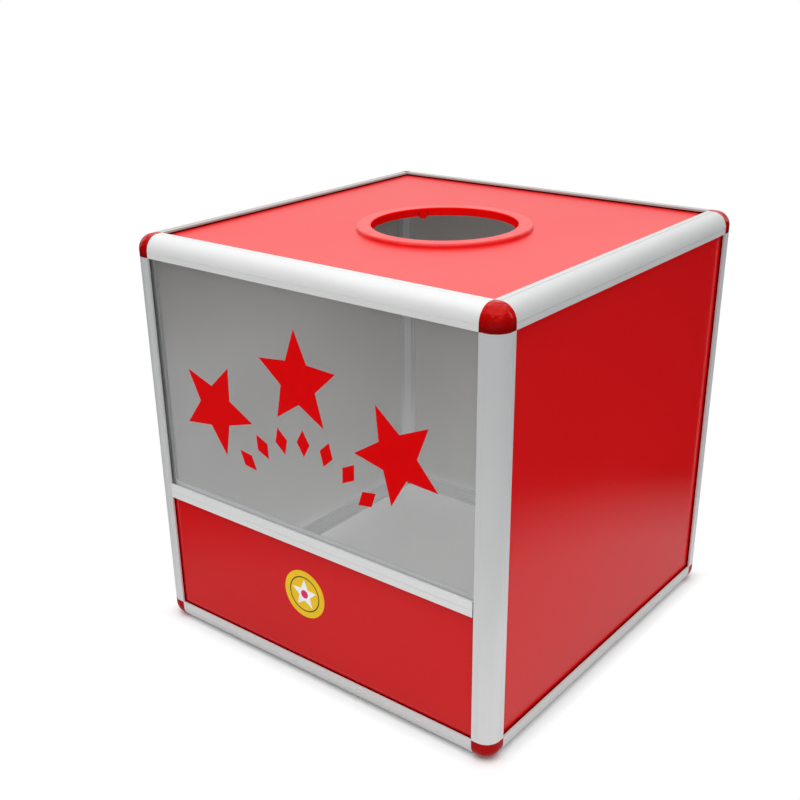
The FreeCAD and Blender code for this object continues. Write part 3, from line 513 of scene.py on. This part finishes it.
@dataclass(frozen=True)
class RedFilm:
    """Smooth red film of a panel, with a little dust and painted shade where it runs into a slot.

    Its red falls off a little with height, as painted shade. It mirrors nothing near its slots,
    and may mirror more towards the corner between the window and the right panel.
    """

    name: str = "red_film_panel"
    colour: Colour = (0.625, 0.002, 0.004)
    shade: Colour = (0.605, 0.0015, 0.003)
    contrast: Range = (0.25, 0.75)
    cloud: Texture = Texture(6.0, 3.0)
    peel: Texture = Texture(700.0, 2.0, 0.00002, 0.12)
    dust: Texture = Texture(900.0, 2.0)
    dust_weight: float = 0.04
    dust_range: Range = (0.7, 0.8)
    dust_colour: Colour = (0.8, 0.45, 0.42)
    # Painted shade: the dark red of the film in its slots, also used for its darker top.
    painted_shade_colour: Colour = (0.26, 0.0, 0.001)
    slot_shade: Range = SLOT_EDGE
    dull: Range = (0.172, 0.178)
    roughness: float = 0.16
    rough_play: Range = (-0.01, 0.01)
    shine: float = 0.6
    rail_edge: float | None = None
    rail_line: Range = (0.0008, 0.0006)
    painted_top_shade: float = 0.17
    painted_shade_span: Range = (0.18, 0.37)
    corner_gain: float = 1.0
    corner_reach: Range = (0.02, 0.25)

    def make(self) -> bpy.types.Material:
        """Build the material.

        Returns:
            The material.
        """
        graph = Graph.of_material(self.name)
        cloud = graph.noise(self.cloud)
        across, along, up = graph.axes(graph.place)
        colour = graph.mottle(cloud, self.shade, self.colour, self.contrast)
        # Painted shade: the red darkens towards the top.
        colour = graph.blend(graph.spread(up, 0.0, self.painted_top_shade, *self.painted_shade_span), colour,
                             self.painted_shade_colour)
        dust = graph.spread(graph.noise(self.dust), 0.0, self.dust_weight, *self.dust_range)
        colour = graph.blend(dust, colour, self.dust_colour)
        # Painted shade: the film darkens where it runs into a slot and, on the front, along the
        # rail's lower edge.
        edge = graph.median(graph.from_middle())
        slot_shade = graph.spread(edge, 0.0, 1.0, *self.slot_shade)
        if self.rail_edge is not None:
            slot_shade = graph.math("MAXIMUM", slot_shade, graph.band(up, self.rail_edge, *self.rail_line))
        colour = graph.blend(slot_shade, colour, self.painted_shade_colour)
        shine = graph.math("MINIMUM", graph.spread(slot_shade, self.shine, 0.0),
                           graph.spread(edge, self.shine, 0.0, *self.dull))
        gain = graph.spread(graph.math("SUBTRACT", across, along), 1.0, self.corner_gain,
                            *self.corner_reach)
        return graph.principled(colour, graph.uneven(cloud, self.roughness, self.rough_play),
                                graph.bump(graph.noise(self.peel), self.peel),
                                Specular_IOR_Level=graph.math("MULTIPLY", shine, gain))


@dataclass(frozen=True)
class FoamBoard:
    """White foam board with a closed, slightly grained surface and painted shade on its cut edge
    at the hand hole.

    Its white falls off with height, as painted shade. The faint glow near the floor, and the one
    on the left wall, stand for light that goes on bouncing between the white walls after the
    renderer has stopped following it.
    """

    name: str = "foam_board"
    colour: Colour = (0.93, 0.93, 0.92)
    shade: Colour = (0.90, 0.90, 0.892)
    cloud: Texture = Texture(14.0)
    cells: Texture = Texture(2200.0, depth=0.00006, strength=0.3)
    rough: Range = (0.55, 0.68)
    specular: float = 0.35
    hole_edge_shade_colour: Colour = (0.05, 0.04, 0.04)
    cut_radii: Range = (0.0702, 0.0704)
    cut_heights: Range = (0.39, 0.391)
    painted_high_shade: Colour = (0.51, 0.48, 0.455)
    heights: Range = (0.0, 0.38)
    glow: Range = (0.14, 0.0)
    glow_heights: Range = (0.008, 0.03)
    left_glow: Range = (0.165, 0.02)
    left_depths: Range = (-0.2, 0.12)
    left_fall: float = 0.2
    left_heights: Range = (0.26, 0.38)
    left_reach: Range = (-0.19, -0.15)

    def make(self) -> bpy.types.Material:
        """Build the material.

        Returns:
            The material.
        """
        graph = Graph.of_material(self.name)
        cloud = graph.noise(self.cloud)
        cells = graph.node("TexVoronoi")
        graph.feed(cells.inputs["Vector"], graph.place)
        cells.inputs["Scale"].default_value = self.cells.scale
        across, along, up = graph.axes(graph.place)
        inside = graph.spread(graph.from_hole(), 1.0, 0.0, *self.cut_radii)
        above = graph.spread(up, 0.0, 1.0, *self.cut_heights)
        colour = graph.mottle(cloud, self.shade, self.colour)
        # Painted shade: the board greys towards the top.
        colour = graph.blend(graph.spread(up, 0.0, 1.0, *self.heights), colour, self.painted_high_shade)
        # Painted shade: the board's cut edge at the hand hole, seen through the ring's slots, is
        # darkened.
        colour = graph.blend(graph.math("MULTIPLY", inside, above), colour, self.hole_edge_shade_colour)
        low = graph.spread(up, *self.glow, *self.glow_heights)
        left = graph.math("MULTIPLY", graph.spread(along, *self.left_glow, *self.left_depths),
                          graph.spread(across, 1.0, 0.0, *self.left_reach))
        left = graph.math("MULTIPLY", left,
                          graph.spread(up, 1.0, self.left_fall, *self.left_heights))
        return graph.principled(colour, graph.spread(cloud, *self.rough, *MOTTLE),
                                graph.bump(cells.outputs["Distance"], self.cells),
                                Specular_IOR_Level=self.specular, Emission_Color=BOUNCED_LIGHT,
                                Emission_Strength=graph.math("ADD", low, left))


@dataclass(frozen=True)
class MouldedPlastic:
    """Moulded plastic with a slightly uneven skin, which may have painted shade towards its lower
    edge.
    """

    name: str
    colour: Colour
    shade: Colour
    roughness: float = 0.2
    shine: float = 0.5
    polish: float = 0.0
    rough_play: Range = (-0.05, 0.09)
    contrast: Range = (0.32, 0.68)
    cloud: Texture = Texture(60.0)
    swirl: Texture = Texture(95.0, 2.0, 0.00015, 0.6)
    grain: Texture = Texture(1800.0, 2.0, 0.00002, 0.5)
    painted_low_shade: Colour | None = None
    painted_shade_span: Range = (0.382, 0.396)

    def shine_and_polish(self, graph: Graph) -> tuple[object, object]:
        """How much the skin mirrors, and how much the clear coat on it does.

        Args:
            graph: The material's graph, which is not used here.

        Returns:
            The two weights.
        """
        return self.shine, self.polish

    def make(self) -> bpy.types.Material:
        """Build the material.

        Returns:
            The material.
        """
        graph = Graph.of_material(self.name)
        cloud = graph.noise(self.cloud)
        colour = graph.mottle(cloud, self.shade, self.colour, self.contrast)
        # Painted shade: the corner blocks darken towards their lower edge.
        if self.painted_low_shade is not None:
            up = graph.axes(graph.place)[2]
            colour = graph.blend(graph.spread(up, 1.0, 0.0, *self.painted_shade_span), colour,
                                 self.painted_low_shade)
        swirl = graph.bump(graph.noise(self.swirl), self.swirl)
        grain = graph.bump(graph.noise(self.grain), self.grain, swirl)
        shine, polish = self.shine_and_polish(graph)
        return graph.principled(colour, graph.uneven(cloud, self.roughness, self.rough_play),
                                grain, Specular_IOR_Level=shine, Coat_Weight=polish,
                                Coat_Roughness=self.roughness)


@dataclass(frozen=True)
class RingPlastic(MouldedPlastic):
    """The ring's plastic, polished on top and dull on the wall of the hole."""

    wall: Range = (0.0678, 0.0688)

    def shine_and_polish(self, graph: Graph) -> tuple[object, object]:
        """Weights that fall to nothing at the wall of the hole.

        Args:
            graph: The material's graph.

        Returns:
            The two weights.
        """
        radius = graph.from_hole()
        return (graph.spread(radius, 0.0, self.shine, *self.wall),
                graph.spread(radius, 0.0, self.polish, *self.wall))


@dataclass(frozen=True)
class CutFilm:
    """Thin coloured sticker film with a faint sheen."""

    name: str
    colour: Colour
    shade: Colour
    roughness: float = 0.45
    shine: float = 0.02
    rough_play: Range = (-0.05, 0.05)
    rough_contrast: Range = (0.0, 1.0)
    cloud: Texture = Texture(80.0)
    grain: Texture = Texture(420.0, 2.0, 0.00004, 0.3)

    def printed(self, graph: Graph, colour: Socket) -> Socket:
        """The film's colour with what is printed on it, which is nothing here.

        Args:
            graph: The material's graph, which is not used here.
            colour: The film's own colour.

        Returns:
            The colour that shows.
        """
        return colour

    def make(self) -> bpy.types.Material:
        """Build the material.

        Returns:
            The material.
        """
        graph = Graph.of_material(self.name)
        cloud = graph.noise(self.cloud)
        colour = self.printed(graph, graph.mottle(cloud, self.shade, self.colour))
        rough = graph.uneven(cloud, self.roughness, self.rough_play, self.rough_contrast)
        return graph.principled(colour, rough, graph.bump(graph.noise(self.grain), self.grain),
                                Specular_IOR_Level=self.shine)


@dataclass(frozen=True)
class BadgeFilm(CutFilm):
    """Printed film of the round badge, with a ring or a spot about its middle."""

    roughness: float = 0.42
    shine: float = 0.15
    cloud: Texture = Texture(60.0, 3.0)
    middle: Point = (-0.0093, 0.0, 0.0908)
    print_colour: Colour = (0.03, 0.035, 0.03)
    print_radius: float = 0.0176
    print_half: float = 0.0005
    print_soft: float = 0.0002

    def printed(self, graph: Graph, colour: Socket) -> Socket:
        """The film's colour with the ring or the spot on it.

        Args:
            graph: The material's graph.
            colour: The film's own colour.

        Returns:
            The colour that shows.
        """
        radius = graph.radius(self.middle, (1.0, 0.0, 1.0))
        ring = graph.band(radius, self.print_radius, self.print_half, self.print_soft)
        return graph.blend(ring, colour, self.print_colour)


@dataclass(frozen=True)
class ClearPane:
    """Clear acrylic: light passes, and a thin veil and a reflection lie on its outer face."""

    name: str = "clear_pane"
    tint: Colour = (0.985, 0.99, 0.99)
    dust_colour: Colour = (0.78, 0.79, 0.8)
    smudge: Texture = Texture(16.0, 5.0)
    rough: Range = (0.05, 0.12)
    rough_contrast: Range = (0.35, 0.7)
    haze: Range = (0.08, 0.12)
    haze_contrast: Range = (0.3, 0.75)
    ior: float = 1.49
    outside: Range = (-0.2088, -0.2076)

    def make(self) -> bpy.types.Material:
        """Build the material.

        Returns:
            The material.
        """
        graph = Graph.of_material(self.name)
        smudge = graph.noise(self.smudge)
        clear = graph.node("BsdfTransparent")
        graph.feed(clear.inputs["Color"], self.tint)
        gloss = graph.node("BsdfGlossy")
        graph.feed(gloss.inputs["Color"], WHITE)
        graph.feed(gloss.inputs["Roughness"],
                   graph.spread(smudge, *self.rough, *self.rough_contrast))
        dust = graph.node("BsdfDiffuse")
        graph.feed(dust.inputs["Color"], self.dust_colour)
        fresnel = graph.node("Fresnel")
        fresnel.inputs["IOR"].default_value = self.ior
        outer = graph.spread(graph.axes(graph.place)[1], 1.0, 0.0, *self.outside)
        haze = graph.spread(smudge, *self.haze, *self.haze_contrast)
        veil = graph.choose(graph.math("MULTIPLY", haze, outer), clear.outputs["BSDF"],
                            dust.outputs["BSDF"])
        mirror = graph.math("MULTIPLY", fresnel.outputs["Fac"], outer)
        return graph.show(graph.choose(mirror, veil, gloss.outputs["BSDF"]))


@dataclass(frozen=True)
class PlatedMetal:
    """Plated or drawn metal with fine upright lines and handling marks."""

    name: str
    colour: Colour
    shade: Colour
    roughness: float
    metal: float
    rough_play: Range = (-0.05, 0.1)
    contrast: Range = (0.35, 0.65)
    lines: Texture = Texture(1.0, 3.0, 0.00001, 0.5)
    marks: Texture = Texture(260.0, 5.0)
    line_pitch: Range = (3200.0, 60.0)

    def make(self) -> bpy.types.Material:
        """Build the material.

        Returns:
            The material.
        """
        graph = Graph.of_material(self.name)
        lines = graph.noise(self.lines, Run.UPRIGHT.stretch(*self.line_pitch))
        marks = graph.noise(self.marks)
        colour = graph.mottle(marks, self.shade, self.colour, self.contrast)
        return graph.principled(colour, graph.uneven(marks, self.roughness, self.rough_play),
                                graph.bump(lines, self.lines), Metallic=self.metal)


@dataclass(frozen=True)
class Finishes:
    """Every finish of the box, made once."""

    # One anodised aluminium in several tones, one per group of profiles: these tones are painted
    # light and shade, and the far top profiles' grey is painted shade.
    across: Finish = AnodisedAluminium("aluminium_across", Run.ACROSS)
    along: Finish = AnodisedAluminium(
        "aluminium_along", Run.ALONG, (0.60, 0.61, 0.61), (0.57, 0.58, 0.582), metal=0.2,
        groove_painted_light=0.05)
    low_along: Finish = AnodisedAluminium("aluminium_low_along", Run.ALONG)
    far_across: Finish = AnodisedAluminium(
        "aluminium_far_across", Run.ACROSS, (0.43, 0.43, 0.415), (0.40, 0.40, 0.388), metal=0.05)
    far_along: Finish = AnodisedAluminium(
        "aluminium_far_along", Run.ALONG, (0.43, 0.43, 0.415), (0.40, 0.40, 0.388), metal=0.05)
    upright: Finish = AnodisedAluminium(
        "aluminium_upright", Run.UPRIGHT, (0.87, 0.88, 0.88), (0.83, 0.84, 0.842), metal=0.4,
        painted_high_shade=(0.70, 0.72, 0.725))
    rail: Finish = AnodisedAluminium(
        "aluminium_rail", Run.ACROSS, (0.76, 0.77, 0.765), (0.73, 0.74, 0.737), glow=(0.2, 0.2))
    # The three red films are one film: the top's lighter, pinker red is painted light and the
    # front's darker red is painted shade.
    film: Finish = RedFilm()
    top_film: Finish = RedFilm(
        "red_film_top", (0.69, 0.013, 0.013), (0.665, 0.011, 0.011),
        painted_shade_colour=(0.5, 0.012, 0.012), dull=SLOT_EDGE, roughness=0.34, shine=0.73,
        painted_top_shade=0.0, corner_gain=1.9)
    front_film: Finish = RedFilm(
        "red_film_front", (0.58, 0.002, 0.004), (0.56, 0.0015, 0.003), dull=SLOT_EDGE,
        rail_edge=0.1407, painted_top_shade=0.0)
    board: Finish = FoamBoard()
    pane: Finish = ClearPane()
    upper_corner: Finish = MouldedPlastic(
        "red_upper_corners", (0.46, 0.001, 0.001), (0.38, 0.0005, 0.0005), 0.12, shine=0.25,
        swirl=Texture(150.0, 2.0, 0.004, 0.6), painted_low_shade=(0.17, 0.0, 0.0))
    # The lower corner blocks are the same red plastic as the upper ones, made darker as painted
    # shade.
    lower_corner: Finish = MouldedPlastic(
        "red_lower_corners", (0.36, 0.001, 0.001), (0.33, 0.0006, 0.0006), 0.15, shine=0.12,
        swirl=Texture(240.0, 2.0, 0.0009, 0.6))
    ring: Finish = RingPlastic(
        "red_ring_plastic", (0.80, 0.004, 0.003), (0.74, 0.002, 0.002), 0.4, shine=0.6,
        polish=0.9)
    sign_red: Finish = CutFilm("red_sign_film", (0.60, 0.0, 0.001), (0.57, 0.0, 0.0005))
    badge_yellow: Finish = BadgeFilm(
        "yellow_badge_film", (0.78, 0.50, 0.012), (0.74, 0.47, 0.009))
    badge_white: Finish = BadgeFilm(
        "white_badge_film", (0.80, 0.83, 0.87), (0.74, 0.77, 0.82),
        print_colour=(0.62, 0.025, 0.12), print_radius=0.0, print_half=0.0042)
    nickel: Finish = PlatedMetal(
        "nickel_hinge", (0.60, 0.59, 0.56), (0.50, 0.49, 0.47), 0.34, metal=0.55)
    pin: Finish = PlatedMetal("drawn_pin", (0.6, 0.6, 0.6), (0.5, 0.5, 0.5), 0.25, metal=0.7)
    rivet: Finish = PlatedMetal(
        "rivet_metal", (0.72, 0.72, 0.72), (0.6, 0.6, 0.6), 0.35, metal=0.6)
    chrome: Finish = PlatedMetal(
        "lock_plating", (0.75, 0.75, 0.76), (0.66, 0.66, 0.68), 0.14, metal=0.7)
    plug: Finish = PlatedMetal(
        "plug_plating", (0.66, 0.65, 0.62), (0.55, 0.54, 0.52), 0.22, metal=0.65)
    zinc: Finish = PlatedMetal(
        "zinc_steel", (0.6, 0.6, 0.57), (0.48, 0.48, 0.46), 0.36, metal=0.6)
    key: Finish = PlatedMetal(
        "key_plating", (0.68, 0.67, 0.63), (0.56, 0.55, 0.51), 0.24, metal=0.6)


class Dresser:
    """Gives CAD nodes their finishes and keeps each finish's material."""

    def __init__(self, frame: dict) -> None:
        """Keep the frame's nodes.
        """
        self.nodes: dict[str, bpy.types.Object] = frame["nodes"]
        self.made: dict[str, bpy.types.Material] = {}

    def dress(self, finish: Finish, *names: str) -> None:
        """Give nodes one finish.

        Args:
            finish: The finish.
            *names: Node names.
        """
        if finish.name not in self.made:
            self.made[finish.name] = finish.make()
        for name in names:
            data = self.nodes[name].data
            data.materials.clear()
            data.materials.append(self.made[finish.name])
        LOG.info("%s on %s", finish.name, ", ".join(names))


@dataclass
class Frame:
    """The edge profiles, the corner blocks and the cross rail."""

    ends: Sequence[str] = ("front", "back")
    sides: Sequence[str] = ("left", "right")

    def corners(self, pattern: str) -> list[str]:
        """Name the pieces at the four corners of the plan.

        Args:
            pattern: The name, with {end} and {side} in it.

        Returns:
            The four names.
        """
        return [pattern.format(end=end, side=side) for end in self.ends for side in self.sides]

    def dress(self, dresser: Dresser, finishes: Finishes) -> None:
        """Dress the frame's nodes.

        Args:
            dresser: The dresser.
            finishes: The finishes.
        """
        dresser.dress(finishes.across, "top_front_profile", "bottom_front_profile",
                      "bottom_back_profile")
        dresser.dress(finishes.along, "top_right_profile")
        dresser.dress(finishes.low_along, "bottom_left_profile", "bottom_right_profile")
        dresser.dress(finishes.far_across, "top_back_profile")
        dresser.dress(finishes.far_along, "top_left_profile")
        dresser.dress(finishes.upper_corner, *self.corners("top_{end}_{side}_corner"))
        dresser.dress(finishes.lower_corner, *self.corners("bottom_{end}_{side}_corner"))
        dresser.dress(finishes.upright, *self.corners("{end}_{side}_post"))
        dresser.dress(finishes.rail, "cross_rail")


@dataclass
class Panels:
    """The clad boards, the window pane and the films on them."""

    filmed: Sequence[str] = ("left", "right", "back", "door")

    def dress(self, dresser: Dresser, finishes: Finishes) -> None:
        """Dress the panels' nodes.

        Args:
            dresser: The dresser.
            finishes: The finishes.
        """
        dresser.dress(finishes.film, *(f"{name}_skin" for name in self.filmed))
        dresser.dress(finishes.top_film, "top_skin")
        dresser.dress(finishes.front_film, "lower_front_skin")
        dresser.dress(finishes.board, *(f"{name}_board" for name in self.filmed), "top_board",
                      "lower_front_board", "bottom_board")
        dresser.dress(finishes.pane, "window_pane")
        dresser.dress(finishes.sign_red, "window_stars", "window_diamonds")
        dresser.dress(finishes.badge_yellow, "badge_disc")
        dresser.dress(finishes.badge_white, "badge_star")
        dresser.dress(finishes.ring, "hole_ring")


@dataclass
class BackDoor:
    """The hinges, the rivets and the lock of the emptying door."""

    places: Sequence[str] = ("upper", "lower")

    def dress(self, dresser: Dresser, finishes: Finishes) -> None:
        """Dress the door's fittings.

        Args:
            dresser: The dresser.
            finishes: The finishes.
        """
        for place in self.places:
            dresser.dress(finishes.nickel, f"{place}_hinge_fixed_leaf",
                          f"{place}_hinge_door_leaf")
            dresser.dress(finishes.pin, f"{place}_hinge_pin")
        dresser.dress(finishes.rivet, "fixed_leaf_rivets", "door_leaf_rivets")
        dresser.dress(finishes.chrome, "lock_barrel", "lock_nut")
        dresser.dress(finishes.plug, "lock_plug")
        dresser.dress(finishes.zinc, "lock_cam", "cam_screw")
        dresser.dress(finishes.key, "lock_key")


@dataclass
class Studio:
    """The white floor and world, the soft lamp and the camera.

    Gloss mirrors a room that is white above and behind on the left. In the floor it mirrors a
    pool of light around the box, brighter towards the back right.
    """

    floor_reach: float = 30.0
    paper: Colour = (0.86, 0.86, 0.86)
    white_reach: Range = (0.2, 0.211)
    pool_light: Range = (0.27, 0.44)
    pool_turn: Range = (-0.15, 0.1)
    pool_reach: Range = (0.36, 0.52)
    pool_rest: float = 0.03
    ambient: float = 0.72
    mirrored_sky: Range = (0.03, 0.8)
    sky_rise: Range = (0.55, 0.92)
    sky_turn: Range = (0.5, 1.0)
    lamp_place: Point = (0.15, -0.4, 2.2)
    lamp_target: Point = (0.0, 0.0, 0.2)
    lamp_side: float = 2.4
    lamp_power: float = 46.0
    camera_place: Point = (0.60881, -0.841675, 0.62925)
    camera_look: Point = (-0.57869, 0.70642, -0.40754)
    camera_up: Point = (-0.24448, 0.32646, 0.91304)
    camera_clip: Range = (0.01, 100.0)
    focal_pixels: float = 1113.6
    frame_pixels: float = 800.0
    principal: Range = (386.3, 448.4)
    sensor: float = 36.0

    def build(self) -> None:
        """Build floor, world, lamp and camera."""
        self.build_floor()
        self.build_world()
        self.build_lamp()
        self.build_camera()

    def build_floor(self) -> None:
        """Lay a wide white floor that keeps the box's shadow."""
        reach = self.floor_reach
        mesh = bpy.data.meshes.new("studio_floor")
        mesh.from_pydata([(-reach, -reach, 0.0), (reach, -reach, 0.0), (reach, reach, 0.0),
                          (-reach, reach, 0.0)], [], [(0, 1, 2, 3)])
        floor = bpy.data.objects.new("studio_floor", mesh)
        bpy.context.scene.collection.objects.link(floor)
        floor.data.materials.append(self.floor_material())

    def floor_material(self) -> bpy.types.Material:
        """White paper that runs out into pure white, and a pool of light where gloss mirrors it.

        Returns:
            The material.
        """
        graph = Graph.of_material("white_floor")
        paper = graph.node("BsdfDiffuse")
        graph.feed(paper.inputs["Color"], self.paper)
        across, along, _ = graph.axes(graph.place)
        along = graph.math("SUBTRACT", along, CUBE_MIDDLE[1])
        away = graph.math("MAXIMUM", graph.math("ABSOLUTE", across),
                          graph.math("ABSOLUTE", along))
        path = graph.node("LightPath")
        far = graph.math("MULTIPLY", graph.spread(away, 0.0, 1.0, *self.white_reach),
                         graph.straight_rays(path))
        shown = graph.choose(far, paper.outputs["BSDF"], graph.glow(1.0))
        radius = graph.node("VectorMath", operation="LENGTH")
        graph.feed(radius.inputs[0], graph.place)
        pool = graph.spread(radius.outputs["Value"], 1.0, self.pool_rest, *self.pool_reach)
        side = graph.spread(graph.math("ADD", across, along), *self.pool_light, *self.pool_turn)
        glow = graph.glow(graph.math("MULTIPLY", pool, side))
        graph.owner.cycles.emission_sampling = "NONE"
        return graph.show(graph.choose(path.outputs["Is Glossy Ray"], shown, glow))

    def build_world(self) -> None:
        """Make a world that is pure white to the camera, softer as light, and a room to gloss."""
        graph = Graph.of_world("studio_world")
        bpy.context.scene.world = graph.owner
        graph.owner.cycles.sampling_method = "NONE"
        right, behind, up = graph.axes(graph.coordinates.outputs["Generated"])
        above = graph.spread(up, *self.mirrored_sky, *self.sky_rise)
        leftward = graph.spread(graph.math("SUBTRACT", behind, right), *self.mirrored_sky,
                                *self.sky_turn)
        path = graph.node("LightPath")
        light = graph.blend(path.outputs["Is Glossy Ray"], self.ambient,
                            graph.math("MAXIMUM", above, leftward), "FLOAT")
        light = graph.blend(graph.straight_rays(path), light, 1.0, "FLOAT")
        background = graph.node("Background")
        graph.feed(background.inputs["Color"], WHITE)
        graph.feed(background.inputs["Strength"], light)
        graph.show(background.outputs["Background"])

    def build_lamp(self) -> None:
        """Hang the soft square lamp, which gloss doesn't mirror."""
        data = bpy.data.lights.new("overhead_lamp", "AREA")
        data.shape = "SQUARE"
        data.size = self.lamp_side
        data.energy = self.lamp_power
        lamp = bpy.data.objects.new("overhead_lamp", data)
        place, target = Vector(self.lamp_place), Vector(self.lamp_target)
        lamp.location = place
        lamp.rotation_mode = "QUATERNION"
        lamp.rotation_quaternion = (target - place).to_track_quat("-Z", "Y")
        lamp.visible_glossy = False
        bpy.context.scene.collection.objects.link(lamp)

    def build_camera(self) -> None:
        """Set up the photograph's camera."""
        data = bpy.data.cameras.new("camera")
        data.sensor_width = self.sensor
        data.lens = self.focal_pixels / self.frame_pixels * self.sensor
        middle = self.frame_pixels / 2
        data.shift_x = (middle - self.principal[0]) / self.frame_pixels
        data.shift_y = (self.principal[1] - middle) / self.frame_pixels
        data.clip_start, data.clip_end = self.camera_clip
        camera = bpy.data.objects.new("camera", data)
        look = Vector(self.camera_look).normalized()
        up = Vector(self.camera_up)
        up = (up - look * up.dot(look)).normalized()
        axes = Matrix((look.cross(up), up, -look)).transposed().to_4x4()
        camera.matrix_world = Matrix.Translation(Vector(self.camera_place)) @ axes
        bpy.context.scene.collection.objects.link(camera)
        bpy.context.scene.camera = camera


@dataclass
class RaffleBoxScene:
    """The whole picture: studio, frame, panels and back door."""

    studio: Studio = field(default_factory=Studio)
    frame: Frame = field(default_factory=Frame)
    panels: Panels = field(default_factory=Panels)
    back_door: BackDoor = field(default_factory=BackDoor)
    finishes: Finishes = field(default_factory=Finishes)

    def build(self, dresser: Dresser) -> None:
        """Build and dress everything in order.

        Args:
            dresser: The dresser.
        """
        self.studio.build()
        for group in (self.frame, self.panels, self.back_door):
            group.dress(dresser, self.finishes)


def main() -> None:
    """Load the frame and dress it."""
    logging.basicConfig(level=logging.INFO, format="%(name)s: %(message)s")
    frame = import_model()
    bpy.context.scene.view_settings.view_transform = "Standard"
    RaffleBoxScene().build(Dresser(frame))


if __name__ == "__main__":
    main()
